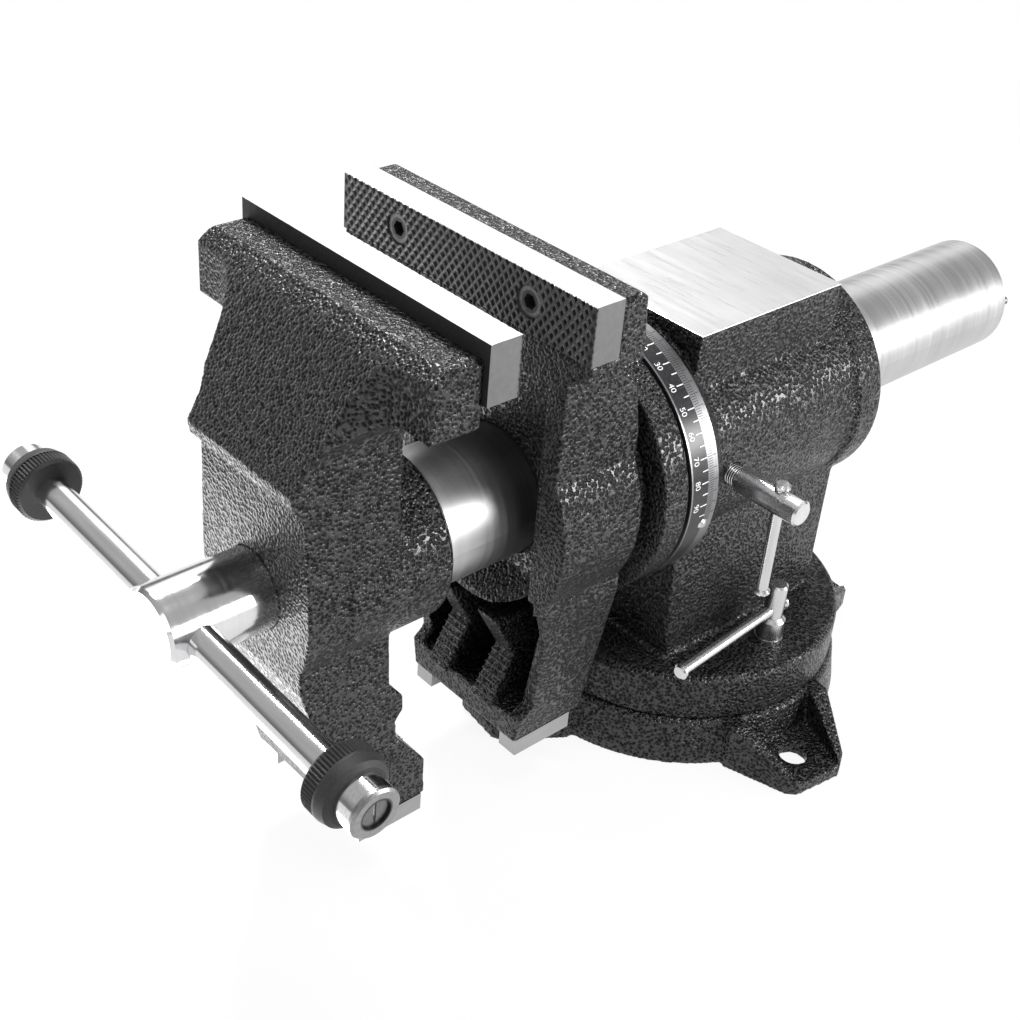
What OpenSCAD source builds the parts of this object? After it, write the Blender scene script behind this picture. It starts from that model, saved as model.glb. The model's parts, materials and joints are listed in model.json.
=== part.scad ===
// Multipurpose bench vise: swivel base, rotating head, flat jaws above and pipe jaws below.
// Millimetres, +Z up, spindle along Y with the handle towards -Y.
// The origin is the middle of the base's underside, on the swivel axis.

/* [Placing] */
// Height of the spindle axis above the bench
axis_h = 156; // [152:1:175]
// Distance from the swivel axis to the fixed gripping face
face_reach = 163.5; // [158:0.5:185]
// Opening between the gripping faces
jaw_gap = 35.5; // [30:0.5:45]
// Angle of the base's ears under the vise
base_turn = -7.6; // [-20:0.1:20]

/* [Jaw plates] */
// Width of the jaws
jaw_w = 150; // [130:1:170]
// Thickness of a jaw plate
plate_t = 14.5; // [10:0.5:16]
// Height of a jaw plate
plate_h = 24.5; // [20:0.5:28]
// Height of the plates' top above the spindle axis
throat = 125.5; // [122:0.5:135]
// Distance between the two screws of a plate
plate_screw_gap = 79; // [60:1:100]
// Radius of a plate screw's head
socket_r = 6.5; // [5:0.1:7]
// Radius of a plate screw's shank
shank_r = 4; // [3:0.1:4.5]
// Length of a plate screw below its head
shank_l = 14; // [10:0.5:16]
// Radius across the corners of a hexagon socket
hex_r = 3.4; // [2.5:0.1:3.6]

/* [Movable jaw] */
// Thickness of the jaw's top block behind the plate
mov_top_t = 22.5; // [20:0.5:25]
// Half width of the movable jaw's top block
block_half = 72.5; // [62:0.5:85]
// Drop of the movable casting's top below its plate's top
mov_drop = 7; // [4:0.5:9]
// Height of the wide end block
mov_block_h = 27; // [24:0.5:32]
// Reach of the brow in front of the plate seat
brow_out = 53; // [50:0.5:58]
// Height of the brow above the spindle axis
brow_z = 61; // [58:0.5:64]
// Depth of the box round the screw, from plate seat to front face
box_out = 47; // [45:0.5:50]
// Half width of the box round the screw
box_half = 35; // [33:0.5:37]
// Distance from the plate seat back to the box's rear face
box_back = 3; // [2:0.5:5]
// Height of the castings' lower end above the bench
low_room = 38; // [36:0.5:44]
// Radius of the hub round the slide tube
hub_r = 38.5; // [36:0.5:42]
// Length of the hub beyond the plate seat
hub_out = 25; // [20:0.5:28]

/* [Slide tube] */
// Outer radius of the slide tube
tube_r = 30.5; // [29:0.5:31]
// Wall of the slide tube
tube_wall = 6; // [5:0.5:6.5]
// Distance of the tube's rear end behind the swivel axis
tube_rear = 214.5; // [205:0.5:230]
// Width of the slot under the tube
tube_slot_w = 17; // [15:0.5:19]
// Length of jaw travel towards open
travel_open = 115; // [100:1:118]
// Length of jaw travel towards shut
travel_shut = 35; // [20:1:35]

/* [Spindle] */
// Radius of the spindle's head
head_r = 17.5; // [16:0.5:18.5]
// Length of the spindle's head in front of the casting
head_out = 47; // [40:0.5:55]
// Distance of the cross hole from the head's end
cross_in = 13.4; // [12:0.1:18]
// Radius of the thread over its crests
thread_r = 13; // [11:0.5:14]
// Pitch of the thread
pitch = 5; // [4:0.5:6]
// Depth of the thread's groove
thread_depth = 2; // [1:0.1:2.4]
// Distance of the spindle's tip behind the swivel axis
tip_y = 30; // [28:1:60]
// Length of the spindle nut
nut_l = 45; // [36:1:46]

/* [Handle] */
// Radius of the handle bar
bar_r = 7; // [6:0.5:8]
// Distance of the knurled rings' middles from the bar's middle
ring_out = 106; // [95:1:120]
// Radius of a knurled ring
ring_r = 15; // [13:0.5:16]
// Thickness of a knurled ring
ring_t = 14; // [10:0.5:16]
// Radius of an end cap
cap_r = 10.4; // [9:0.1:12]
// Length of an end cap beyond its ring
cap_l = 10; // [8:0.5:14]
// Dip of the bar's right end, as photographed
bar_tilt = 2.4; // [-10:0.1:10]

/* [Fixed jaw] */
// Thickness of the fixed jaw's top block
fix_top_t = 27; // [25:0.5:32]
// Half width of the web
web_half = 50; // [47:0.5:52]
// Distance from the gripping face to the web's rear plane
web_rear = 61; // [58:0.5:64]
// Distance from the gripping face to the web's front edge
web_front = 14.5; // [14:0.5:17]
// Distance from the gripping face to the recess round the tube
recess_in = 27; // [24:0.5:29]
// Radius of the round bulge of the web
bulge_r = 58.5; // [56:0.5:60]
// Radius of the neck behind the bulge
neck_r = 50; // [47:0.5:54]
// Radius of the turned flange
flange_r = 64; // [62:0.5:66]
// Thickness of the turned flange
flange_t = 15; // [12:0.5:16]
// Outer radius of the sleeve that turns in the housing
sleeve_r = 42; // [40:0.5:44]

/* [Housing] */
// Radius of the housing
house_r = 55; // [54:0.5:58]
// Radius of the housing's rear rim
rim_r = 57; // [56:0.5:60]
// Width of the rear rim
rim_w = 17; // [14:0.5:20]
// Distance of the housing's rear face behind the swivel axis
house_rear = 66.5; // [60:0.5:72]
// Height of the anvil's top above the spindle axis
anvil_h = 67; // [64:0.5:70]
// Half width of the anvil
anvil_half = 38; // [34:0.5:40]
// Distance of the anvil's front edge before the swivel axis
anvil_front = 56; // [50:0.5:58]
// Distance of the anvil's rear edge behind the swivel axis
anvil_rear = 40; // [36:0.5:44]
// Half width of the pedestal
ped_half = 45; // [42:0.5:46]
// Half length of the pedestal
ped_long = 54; // [48:0.5:54]
// Radius of the swivel disc
disc_r = 85; // [83:0.5:88]
// Thickness of the swivel disc
disc_t = 25; // [22:0.5:27]

/* [Scale ring] */
// Outer radius of the scale ring
scale_r = 64.5; // [63:0.5:66]
// Width of the scale ring
scale_w = 17; // [14:0.5:18]
// Thickness of the scale ring
scale_t = 2.5; // [2:0.1:3]

/* [Base] */
// Height of the base's round body
base_h = 24.7; // [24:0.1:28]
// Radius of the base's foot
base_r = 90; // [88:0.5:92]
// Reach of an ear beyond the foot
ear_reach = 31; // [28:0.5:36]
// Half width of an ear's end
ear_half = 17.5; // [16:0.5:20]
// Half width of an ear's root
ear_root = 33; // [28:0.5:36]
// Thickness of an ear's end
ear_h = 8.6; // [7.5:0.1:10]
// Distance of a bolt hole from the ear's end
bolt_in = 19; // [16:0.5:20]
// Radius of a bolt hole
bolt_hole_r = 7; // [5:0.5:8]

/* [Locks] */
// Distance of a swivel lock from the swivel axis
lock_x = 64; // [62:0.5:66]
// Radius of a swivel lock's nut
lock_r = 5; // [4.8:0.1:6]
// Height of a swivel lock's nut above the disc
lock_h = 31; // [26:0.5:34]
// Height of a swivel lock's bar above the disc
lock_bar_z = 15; // [13:0.5:18]
// Radius of the lock bars
lock_bar_r = 2.7; // [2.2:0.1:3]
// Length of a swivel lock's bar
lock_bar_l = 84; // [60:1:90]
// Swing of a swivel lock's bar away from the spindle's direction
lock_bar_turn = 4.8; // [-8:0.1:30]
// Distance of the head lock before the swivel axis
hlock_y = 40; // [36:0.5:42]
// Radius of the head lock's screw head
hlock_r = 6.2; // [5.8:0.1:7]
// Distance of the head lock's outer end from the spindle axis
hlock_end = 95; // [90:0.5:100]
// Length of the head lock's bar
hlock_bar_l = 60; // [50:1:70]

/* [Hidden] */
$fn = 96;

// Clearances
run = 0.06;
gap = 0.3;
seat = 0.05;
over = 1;
chamfer = 1.5;
small_fn = 40;

// Places along the spindle
mov_toe_in = 20;
thrust_t = 2.5;
fix_face = -face_reach;
fix_seat = fix_face + plate_t;
mov_face = fix_face - jaw_gap;
mov_seat = mov_face - plate_t;
mov_front = mov_seat - box_out;
box_rear = mov_seat - box_back;
hub_rear = mov_seat + hub_out;
head_end = mov_front - head_out;
cross_y = head_end + cross_in;
fix_back = fix_face + fix_top_t;
recess_y = fix_face + recess_in;
web_y0 = fix_face + web_front;
web_y1 = fix_face + web_rear;
neck_l = 8;
flange_y0 = web_y1 + neck_l;
flange_y1 = flange_y0 + flange_t;
house_front = flange_y1 + gap * 2;
ring_seat = 6.5;
ring_y0 = house_rear - ring_seat;

// Reach of the base
ear_out = base_r + ear_reach;
bolt_circle_r = ear_out - bolt_in;

// Heights above the spindle axis
low_depth = axis_h - low_room;
plate_low = throat - plate_h;
mov_top = throat - mov_drop;
fix_top = throat - over;
mov_block_low = mov_top - mov_block_h;
pad_t = 9;

// A round bar along Y on the spindle axis
module spindle_rod(r, y0, y1, fn = $fn) {
    translate([0, y1, axis_h]) rotate([90, 0, 0]) cylinder(r = r, h = y1 - y0, $fn = fn);
}

// A cone along Y on the spindle axis
module spindle_cone(r0, r1, y0, y1) {
    translate([0, y0, axis_h]) rotate([-90, 0, 0]) cylinder(r1 = r0, r2 = r1, h = y1 - y0);
}

// A box from its two corners, heights taken from the spindle axis
module axis_box(low, high) {
    translate([low[0], low[1], axis_h + low[2]]) cube(high - low);
}

// A box across the middle plane
module axis_slab(half, y0, y1, z0, z1) {
    axis_box([-half, y0, z0], [half, y1, z1]);
}

// An outline in Y and Z, drawn across the middle plane
module side_profile(points, half) {
    translate([-half, 0, axis_h]) rotate([90, 0, 90]) linear_extrude(half * 2) polygon(points);
}

// A half outline in X and Z, mirrored and drawn along Y
module front_outline(half_points, y0, y1) {
    mirrored = [for (i = [len(half_points) - 1 : -1 : 0]) [-half_points[i][0], half_points[i][1]]];
    translate([0, y1, axis_h]) rotate([90, 0, 0]) linear_extrude(y1 - y0)
        polygon(concat(half_points, mirrored));
}

// The pair of plate screw places
module at_plate_screws(y) {
    for (side = [-1, 1])
        translate([side * plate_screw_gap / 2, y, axis_h + throat - plate_h / 2]) children();
}

// A jaw plate whose gripping face looks along +Y from the origin
module jaw_plate_blank() {
    difference() {
        translate([-jaw_w / 2, -plate_t, axis_h + plate_low]) cube([jaw_w, plate_t, plate_h]);
        at_plate_screws(over) rotate([90, 0, 0])
            cylinder(r = shank_r + seat, h = plate_t + over * 2, $fn = small_fn);
        at_plate_screws(over) rotate([90, 0, 0])
            cylinder(r = socket_r + seat * 2, h = socket_sink + over, $fn = small_fn);
    }
}
socket_h = 8;
socket_sink = socket_h + over;

// A socket head screw pointing along -Z with its head's underside at the origin
module socket_screw(r_head, h_head, r_shank, l_shank, r_hex) {
    difference() {
        union() {
            cylinder(r = r_head, h = h_head, $fn = small_fn);
            translate([0, 0, -l_shank]) cylinder(r = r_shank, h = l_shank + over, $fn = small_fn);
        }
        translate([0, 0, h_head / 2]) cylinder(r = r_hex, h = h_head, $fn = 6);
    }
}

module plate_screw_pair(face, side) {
    color([0.12, 0.12, 0.13])
        at_plate_screws(face - side * socket_sink) rotate([-side * 90, 0, 0])
            socket_screw(socket_r, socket_h, shank_r, shank_l, hex_r);
}

// Blind holes for the plate screws
module plate_screw_holes(seat_y, side) {
    at_plate_screws(seat_y + side * over) rotate([side * 90, 0, 0])
        cylinder(r = shank_r + seat, h = shank_l + socket_sink - plate_t + over * 2, $fn = small_fn);
}

// Base casting
t_slot_half = 5.5;
t_room_half = 9.5;
t_floor = 5;
t_room_h = 7.5;
base_edge = 2;
base_top_r = disc_r + base_edge;
pivot_r = 10;
pivot_head_r = 17;
pivot_sink = 11;
hub_relief_r = 26;
relief_r = 50;
relief_h = 14;
ear_root_x = 62;
ear_slope_x = 88;
ear_floor = 7;
ear_rib = 5;
ear_corner = 4;
spot_r = 10;
spot_h = 0.8;
entry_angle = 45;

module ear_side() {
    translate([0, ear_root, 0]) rotate([90, 0, 0]) linear_extrude(ear_root * 2)
        polygon([[ear_root_x, 0], [ear_out, 0], [ear_out, ear_h], [ear_slope_x, base_h],
            [ear_root_x, base_h]]);
}

module ear() {
    intersection() {
        linear_extrude(base_h) polygon([[ear_root_x, -ear_root], [ear_slope_x, -ear_root + over],
            [ear_out - ear_corner, -ear_half - over], [ear_out, -ear_half + ear_corner],
            [ear_out, ear_half - ear_corner], [ear_out - ear_corner, ear_half + over],
            [ear_slope_x, ear_root - over], [ear_root_x, ear_root]]);
        ear_side();
    }
}

module ear_pocket() {
    translate([0, 0, ear_floor]) linear_extrude(base_h)
        polygon([[base_top_r - ear_rib, -ear_root + ear_rib * 2], [ear_out + over, -ear_half + ear_rib],
            [ear_out + over, ear_half - ear_rib], [base_top_r - ear_rib, ear_root - ear_rib * 2]]);
}

module base() {
    color([0.16, 0.16, 0.17])
    rotate(base_turn) difference() {
        union() {
            rotate_extrude()
                polygon([[0, 0], [base_r, 0], [base_r, base_edge * 2], [base_top_r, base_h - base_edge],
                [base_top_r - base_edge, base_h], [0, base_h]]);
            difference() {
                for (i = [0 : 3]) rotate(i * 90) ear();
                for (i = [0 : 3]) rotate(i * 90) ear_pocket();
            }
        }
        translate([0, 0, -over]) cylinder(r = pivot_r + run, h = base_h + over * 2);
        translate([0, 0, -over]) cylinder(r = pivot_head_r + over, h = pivot_sink + over);
        rotate_extrude() translate([lock_x - t_slot_half, t_floor]) square([t_slot_half * 2, base_h]);
        rotate_extrude() translate([lock_x - t_room_half, t_floor]) square([t_room_half * 2, t_room_h]);
        rotate_extrude() translate([hub_relief_r, -over])
            square([relief_r - hub_relief_r, relief_h + over]);
        rotate(entry_angle - base_turn) translate([lock_x, 0, -over])
            cylinder(r = t_room_half + over, h = t_floor + over * 2, $fn = small_fn);
        for (i = [0 : 3]) rotate(i * 90) translate([bolt_circle_r, 0, -over]) {
            cylinder(r = bolt_hole_r, h = base_h, $fn = small_fn);
            translate([0, 0, ear_floor - spot_h + over]) cylinder(r = spot_r, h = base_h, $fn = small_fn);
        }
    }
}

// Swivel body: disc, pedestal, housing and anvil in one casting
disc_z0 = base_h + gap;
disc_z1 = disc_z0 + disc_t;
disc_edge = 2;
core_wall = 12;
core_top = 95;
hub_column_r = 20;
shoe_r = 9;
flare = 12;
anvil_edge = 1.2;
stud_r = 4;
pivot_grip = 22;
ped_lean = 8;
rib_half = 5;

module core_cavity() {
    difference() {
        translate([-ped_half + core_wall, -ped_long + core_wall, disc_z0 + core_wall])
            cube([(ped_half - core_wall) * 2, (ped_long - core_wall) * 2,
                core_top - disc_z0 - core_wall]);
        cylinder(r = hub_column_r, h = core_top);
        translate([-ped_half, -rib_half, 0]) cube([ped_half * 2, rib_half * 2, core_top]);
    }
    translate([0, 0, disc_z0 - over]) difference() {
        cylinder(r = lock_x - t_room_half * 2, h = core_wall + over * 2);
        cylinder(r = hub_column_r, h = core_wall + over * 3);
        translate([-disc_r, -rib_half, 0]) cube([disc_r * 2, rib_half * 2, core_wall + over * 2]);
    }
}

module swivel_body() {
    ring_bed = scale_r - scale_t - seat;
    color([0.17, 0.17, 0.18])
    difference() {
        union() {
            translate([0, 0, disc_z0]) rotate_extrude()
                polygon([[0, 0], [disc_r, 0], [disc_r, disc_t - disc_edge],
                [disc_r - disc_edge, disc_t], [0, disc_t]]);
            translate([-ped_half, 0, 0]) rotate([90, 0, 90]) linear_extrude(ped_half * 2)
                polygon([[-ped_long, disc_z0 + over], [ped_long, disc_z0 + over], [ped_long, axis_h],
                    [-ped_long - ped_lean, axis_h]]);
            spindle_rod(house_r, house_front + scale_w, house_rear);
            spindle_cone(rim_r - chamfer, rim_r, house_rear - rim_w - chamfer, house_rear - rim_w);
            spindle_rod(rim_r, house_rear - rim_w, house_rear - chamfer);
            spindle_cone(rim_r, rim_r - chamfer, house_rear - chamfer, house_rear);
            spindle_rod(ring_bed, house_front, house_front + scale_w);
            spindle_cone(scale_r, house_r, house_front + scale_w, house_front + scale_w + flare);
            side_profile([[-anvil_front, 0], [anvil_rear, 0], [anvil_rear, anvil_h - anvil_edge],
                [anvil_rear - anvil_edge, anvil_h], [-anvil_front + anvil_edge, anvil_h],
                [-anvil_front, anvil_h - anvil_edge]], anvil_half);
        }
        spindle_rod(sleeve_r + run, house_front - over, house_rear + over);
        spindle_rod(ring_r_out + gap, ring_y0, house_rear + over);
        core_cavity();
        translate([0, 0, disc_z0 - over]) cylinder(r = pivot_thread_r + seat, h = pivot_grip + over * 2);
        for (side = [-1, 1])
            translate([side * lock_x, 0, disc_z0 - over])
                cylinder(r = stud_r + seat, h = disc_t + over * 2, $fn = small_fn);
        translate([0, -hlock_y, axis_h]) rotate([0, 90, 0])
            cylinder(r = shoe_r + run, h = shoe_out + gap);
        translate([0, -hlock_y, axis_h]) rotate([0, 90, 0])
            cylinder(r = hlock_thread_r + run, h = disc_r);
        for (a = rivet_angles) translate([0, rivet_y, axis_h]) rotate([0, a, 0])
            translate([0, 0, ring_bed - rivet_l])
                cylinder(r = rivet_r + seat, h = rivet_l + over, $fn = small_fn);
    }
}
ring_r_out = 50;
shoe_in = sleeve_r + gap;
shoe_out = 50;
hlock_thread_r = 5;
rivet_r = 1.5;
rivet_l = 5;
rivet_head_r = 2.6;
rivet_head_h = 0.9;
rivet_angles = [100, 180, 260];
rivet_y = house_front + scale_w * 0.64;
pivot_thread_r = 8;

// Pivot bolt, screwed up into the swivel body, and its washer
pivot_washer_t = 2.5;
pivot_head_h = 7;
module pivot_bolt() {
    head_z = pivot_sink - pivot_washer_t - seat * 2;
    color([0.6, 0.6, 0.62]) {
        translate([0, 0, head_z - pivot_head_h])
            cylinder(r = pivot_head_r - over * 2, h = pivot_head_h, $fn = 6);
        translate([0, 0, head_z - over]) cylinder(r = pivot_r, h = disc_z0 - head_z + over);
        translate([0, 0, disc_z0 - over]) cylinder(r = pivot_thread_r, h = pivot_grip);
    }
}

module pivot_washer() {
    color([0.7, 0.7, 0.72]) translate([0, 0, pivot_sink - pivot_washer_t - seat])
        difference() {
            cylinder(r = pivot_head_r, h = pivot_washer_t);
            translate([0, 0, -over]) cylinder(r = pivot_r + seat, h = pivot_washer_t + over * 2);
        }
}

// Swivel locks: a T-bolt from the base's slot, a washer, a round nut and its sliding bar
t_head_half = 7.5;
t_head_h = 6;
lock_washer_r = 7.2;
lock_washer_t = 1.6;
bead_r = 3.9;
bead_t = 3;
stud_top = 10;

module t_bolt() {
    head_top = t_floor + t_room_h - seat * 2;
    color([0.55, 0.55, 0.57]) {
        translate([lock_x - t_head_half, -t_head_half, head_top - t_head_h])
            cube([t_head_half * 2, t_head_half * 2, t_head_h]);
        translate([lock_x, 0, head_top - over])
            cylinder(r = stud_r, h = disc_z1 + stud_top - head_top + over, $fn = small_fn);
    }
}

module lock_washer() {
    color([0.75, 0.75, 0.77]) translate([lock_x, 0, disc_z1 + seat]) difference() {
        cylinder(r = lock_washer_r, h = lock_washer_t, $fn = small_fn);
        translate([0, 0, -over])
            cylinder(r = stud_r + seat, h = lock_washer_t + over * 2, $fn = small_fn);
    }
}

lock_foot_r = 6.8;
lock_neck_z = 13;
nut_z0 = disc_z1 + seat * 2 + lock_washer_t;
lock_bar_height = disc_z1 + lock_bar_z + seat;

module lock_nut() {
    color([0.75, 0.75, 0.77]) translate([lock_x, 0, 0]) difference() {
        translate([0, 0, nut_z0]) rotate_extrude($fn = small_fn) polygon([[0, 0], [lock_foot_r, 0],
            [lock_foot_r, lock_neck_z - over * 3], [lock_r, lock_neck_z - over],
            [lock_r, lock_h - over], [lock_r - over, lock_h], [0, lock_h]]);
        translate([0, 0, nut_z0 - over]) cylinder(r = stud_r + run, h = stud_top + gap, $fn = small_fn);
        translate([0, 0, lock_bar_height + lock_bar_rise]) rotate([0, 0, lock_bar_turn])
            rotate([90, 0, 0])
            cylinder(r = lock_bar_r + run, h = lock_r * 4, center = true, $fn = small_fn);
    }
}
lock_bar_rise = lock_bar_r;

// A bar with staked ends, lying along -Y from just behind its nut
module staked_bar(r, length, behind) {
    translate([0, behind, 0]) rotate([90, 0, 0]) {
        cylinder(r = r, h = length, $fn = small_fn);
        for (z = [0, length - bead_t])
            translate([0, 0, z]) rotate_extrude($fn = small_fn)
                polygon([[0, 0], [bead_r - over, 0], [bead_r, over], [bead_r, bead_t - over],
                    [bead_r - over, bead_t], [0, bead_t]]);
    }
}

module lock_bar() {
    color([0.8, 0.8, 0.82]) translate([lock_x, 0, lock_bar_height + lock_bar_rise])
        rotate([0, 0, lock_bar_turn])
        staked_bar(lock_bar_r, lock_bar_l, lock_r + gap + bead_t);
}

// Head lock: a shoe against the sleeve, its screw and its sliding bar
hlock_head_in = 59;
hlock_bar_x = 82;

module head_lock_shoe() {
    color([0.72, 0.55, 0.25]) difference() {
        translate([shoe_in - over * 2, -hlock_y, axis_h]) rotate([0, 90, 0])
            cylinder(r = shoe_r, h = shoe_out - shoe_in + over * 2 - gap, $fn = small_fn);
        spindle_rod(shoe_in, -hlock_y - shoe_r * 2, -hlock_y + shoe_r * 2);
    }
}

module head_lock_screw() {
    color([0.75, 0.75, 0.77]) translate([0, -hlock_y, axis_h]) difference() {
        rotate([0, 90, 0]) rotate_extrude($fn = small_fn)
            polygon([[0, shoe_out], [hlock_thread_r, shoe_out],
            [hlock_thread_r, hlock_head_in], [hlock_r - over, hlock_head_in],
                [hlock_r, hlock_head_in + over],
            [hlock_r, hlock_end - over], [hlock_r - over, hlock_end], [0, hlock_end]]);
        translate([hlock_bar_x, 0, 0])
            cylinder(r = lock_bar_r + run, h = hlock_r * 4, center = true, $fn = small_fn);
    }
}

module head_lock_bar() {
    color([0.8, 0.8, 0.82]) translate([hlock_bar_x, -hlock_y, axis_h]) rotate([90, 0, 0])
        staked_bar(lock_bar_r, hlock_bar_l, hlock_r + gap + bead_t);
}

// Scale ring and its rivets, on the housing's front
module scale_ring() {
    bed = scale_r - scale_t;
    color([0.1, 0.1, 0.11]) difference() {
        spindle_rod(scale_r, house_front, house_front + scale_w - seat);
        spindle_rod(bed, house_front - over, house_front + scale_w + over);
        for (a = rivet_angles) translate([0, rivet_y, axis_h]) rotate([0, a, 0])
            cylinder(r = rivet_r + seat, h = scale_r + over, $fn = small_fn);
    }
}

module scale_rivets() {
    color([0.8, 0.8, 0.8]) for (a = rivet_angles)
        translate([0, rivet_y, axis_h]) rotate([0, a, 0]) {
            translate([0, 0, scale_r - scale_t - rivet_l + seat * 4])
                cylinder(r = rivet_r, h = rivet_l + scale_t, $fn = small_fn);
            translate([0, 0, scale_r])
                cylinder(r1 = rivet_head_r, r2 = rivet_r, h = rivet_head_h, $fn = small_fn);
        }
}

// Pipe jaw teeth: notches across X along a sloping face from point a to point b
tooth_share = 0.8;
module teeth(a, b, x0, x1, count, depth) {
    step = (b - a) / count;
    along = step / norm(step);
    inward = [-along[1], along[0]];
    for (i = [0 : count - 1]) {
        p = a + step * (i + (1 - tooth_share) / 2);
        translate([x0, 0, axis_h]) rotate([90, 0, 90]) linear_extrude(x1 - x0)
            polygon([p - inward * depth, p + step * tooth_share - inward * depth,
                p + step * tooth_share / 2 + inward * depth]);
    }
}

// Fixed jaw: head casting with web, pipe jaw, flange and sleeve
cheek_low_half = 36;
prong_in = 9;
prong_out = 22;
cavity_top = low_depth * 0.424;
cavity_low = low_depth * 0.881;
cavity_back = 46;
bar_front = 18;
cheek_front = 25;
cheek_curve = 5;
cheek_wall = 6;
boss_r = 50;
recess_slope = 14;
vee_top = low_depth * 0.475;
vee_deep = low_depth * 0.678;
vee_in = 13;
tooth_depth = 1.1;
tooth_count = 8;
recess_half = 40;
recess_low = 32;
ledge_h = 22;
ledge_drop = 4;
web_top = plate_low - ledge_h;
block_low = plate_low - ledge_drop;
recess_top = web_top - over;
ledge_in = 0.6;
flank_z = 55;
sleeve_rear = ring_y0 + gap;
nut_neck_half = 8;
nut_neck_in = 5;
nut_neck_low = boss_r - nut_neck_in;
nut_in = 22.5;
nut_y0 = fix_face + nut_in;
nut_y1 = nut_y0 + nut_l;
nut_end_wall = 5;
nut_bolt_in = 9;
nut_bolt_y = nut_y0 + nut_end_wall + nut_bolt_in;
nut_bolt_r = 4;
nut_bolt_l = 12;

module fixed_outline() {
    front_outline([[0, fix_top], [jaw_w / 2 - chamfer, fix_top], [jaw_w / 2, fix_top - chamfer],
        [jaw_w / 2, block_low], [web_half, web_top], [web_half, -flank_z + chamfer * 10],
        [cheek_low_half, -low_depth], [0, -low_depth]], fix_face, web_y1);
}

module fixed_profile() {
    side_profile([[fix_face + ledge_in, plate_low - seat], [fix_seat, plate_low - seat],
        [fix_seat, fix_top],
        [fix_back - chamfer, fix_top], [fix_back, fix_top - chamfer],
            [fix_back + chamfer * 2, block_low - plate_t / 2],
        [web_y1 - chamfer * 3, web_top - plate_t], [web_y1, flank_z - plate_t],
        [web_y1, -low_depth], [fix_face + bar_front, -low_depth], [fix_face + bar_front, -cavity_low],
        [fix_face + cheek_front, -cavity_low + cheek_curve], [web_y0 + cheek_curve, -cavity_top],
        [web_y0, -recess_low], [web_y0, web_top + chamfer],
        [fix_face + ledge_in, web_top + chamfer * 3]], jaw_w);
}

module prong(x0, x1) {
    front = web_y0;
    back = fix_face + cavity_back + over;
    deep = front + vee_in;
    difference() {
        axis_box([x0, front, -cavity_low - over], [x1, back, -vee_top + over]);
        translate([x0 - over, 0, axis_h]) rotate([90, 0, 90]) linear_extrude(x1 - x0 + over * 2)
            polygon([[front - vee_in, -vee_top + over * 3], [front, -vee_top], [deep, -vee_deep],
                [front, -cavity_low + over],
                [front - vee_in, -cavity_low]]);
        teeth([deep, -vee_deep], [front, -cavity_low + over], x0 - over, x1 + over, tooth_count,
            tooth_depth);
    }
}

module fixed_jaw() {
    color([0.15, 0.15, 0.16])
    difference() {
        union() {
            difference() {
                union() {
                    intersection() {
                        fixed_outline();
                        fixed_profile();
                    }
                    spindle_rod(bulge_r, web_y0, web_y1 - chamfer);
                    spindle_cone(bulge_r, bulge_r - chamfer, web_y1 - chamfer, web_y1);
                }
                side_profile([[fix_face - over, recess_top], [recess_y, recess_top],
                    [recess_y, -recess_low],
                    [web_y0, -recess_low - recess_slope],
                        [fix_face - over, -recess_low - recess_slope]], recess_half);
                difference() {
                    front_outline([[0, -recess_low], [web_half - cheek_wall, -recess_low],
                        [web_half - cheek_wall, -cavity_top],
                            [cheek_low_half - cheek_wall + over, -cavity_low],
                        [0, -cavity_low]], fix_face - over, fix_face + cavity_back);
                    spindle_rod(boss_r, fix_face - over * 2, web_y1);
                }
            }
            spindle_rod(neck_r, web_y1 - over, flange_y0 + over);
            spindle_rod(flange_r, flange_y0, flange_y1 - over);
            spindle_cone(flange_r, flange_r - over, flange_y1 - over, flange_y1);
            spindle_rod(sleeve_r, flange_y1 - over, sleeve_rear);
            prong(-prong_out, -prong_in);
            prong(prong_in, prong_out);
        }
        spindle_rod(tube_r + run, fix_face - over, sleeve_rear + over);
        axis_slab(nut_neck_half + seat, nut_y0 + nut_end_wall - seat, nut_y1 - nut_end_wall + seat,
            -nut_neck_low - seat, 0);
        translate([0, nut_bolt_y, axis_h - boss_r - over])
            cylinder(r = nut_bolt_r + seat, h = boss_r, $fn = small_fn);
        plate_screw_holes(fix_seat, -1);
        pad_screw_holes(fix_pad_y);
        for (a = ring_screw_angles) rotate_about_spindle(a)
            translate([0, sleeve_rear - ring_screw_l, axis_h + ring_screw_circle])
            rotate([-90, 0, 0])
                cylinder(r = ring_screw_r + seat, h = ring_screw_l + over, $fn = small_fn);
    }
}
ring_screw_angles = [45, 135, 225, 315];
ring_screw_l = 12;
ring_screw_circle = (tube_r + sleeve_r) / 2;
ring_screw_r = 2.5;
ring_screw_head_r = 4.2;
retain_t = 5.5;

module rotate_about_spindle(a) {
    translate([0, 0, axis_h]) rotate([0, a, 0]) translate([0, 0, -axis_h]) children();
}

module at_ring_screws() {
    for (a = ring_screw_angles) rotate_about_spindle(a)
        translate([0, sleeve_rear + retain_t, axis_h + ring_screw_circle]) rotate([-90, 0, 0]) children();
}

module retaining_ring() {
    color([0.5, 0.5, 0.52]) difference() {
        spindle_rod(ring_r_out, sleeve_rear + seat, sleeve_rear + retain_t);
        spindle_rod(tube_r + gap, sleeve_rear - over, sleeve_rear + retain_t + over);
        at_ring_screws() translate([0, 0, -retain_t * 2])
            cylinder(r = ring_screw_r + seat, h = retain_t * 3, $fn = small_fn);
        at_ring_screws() translate([0, 0, ring_screw_r - ring_screw_head_r - seat])
            cylinder(r1 = ring_screw_r, r2 = ring_screw_head_r + over,
                h = ring_screw_head_r - ring_screw_r + over, $fn = small_fn);
    }
}

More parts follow.
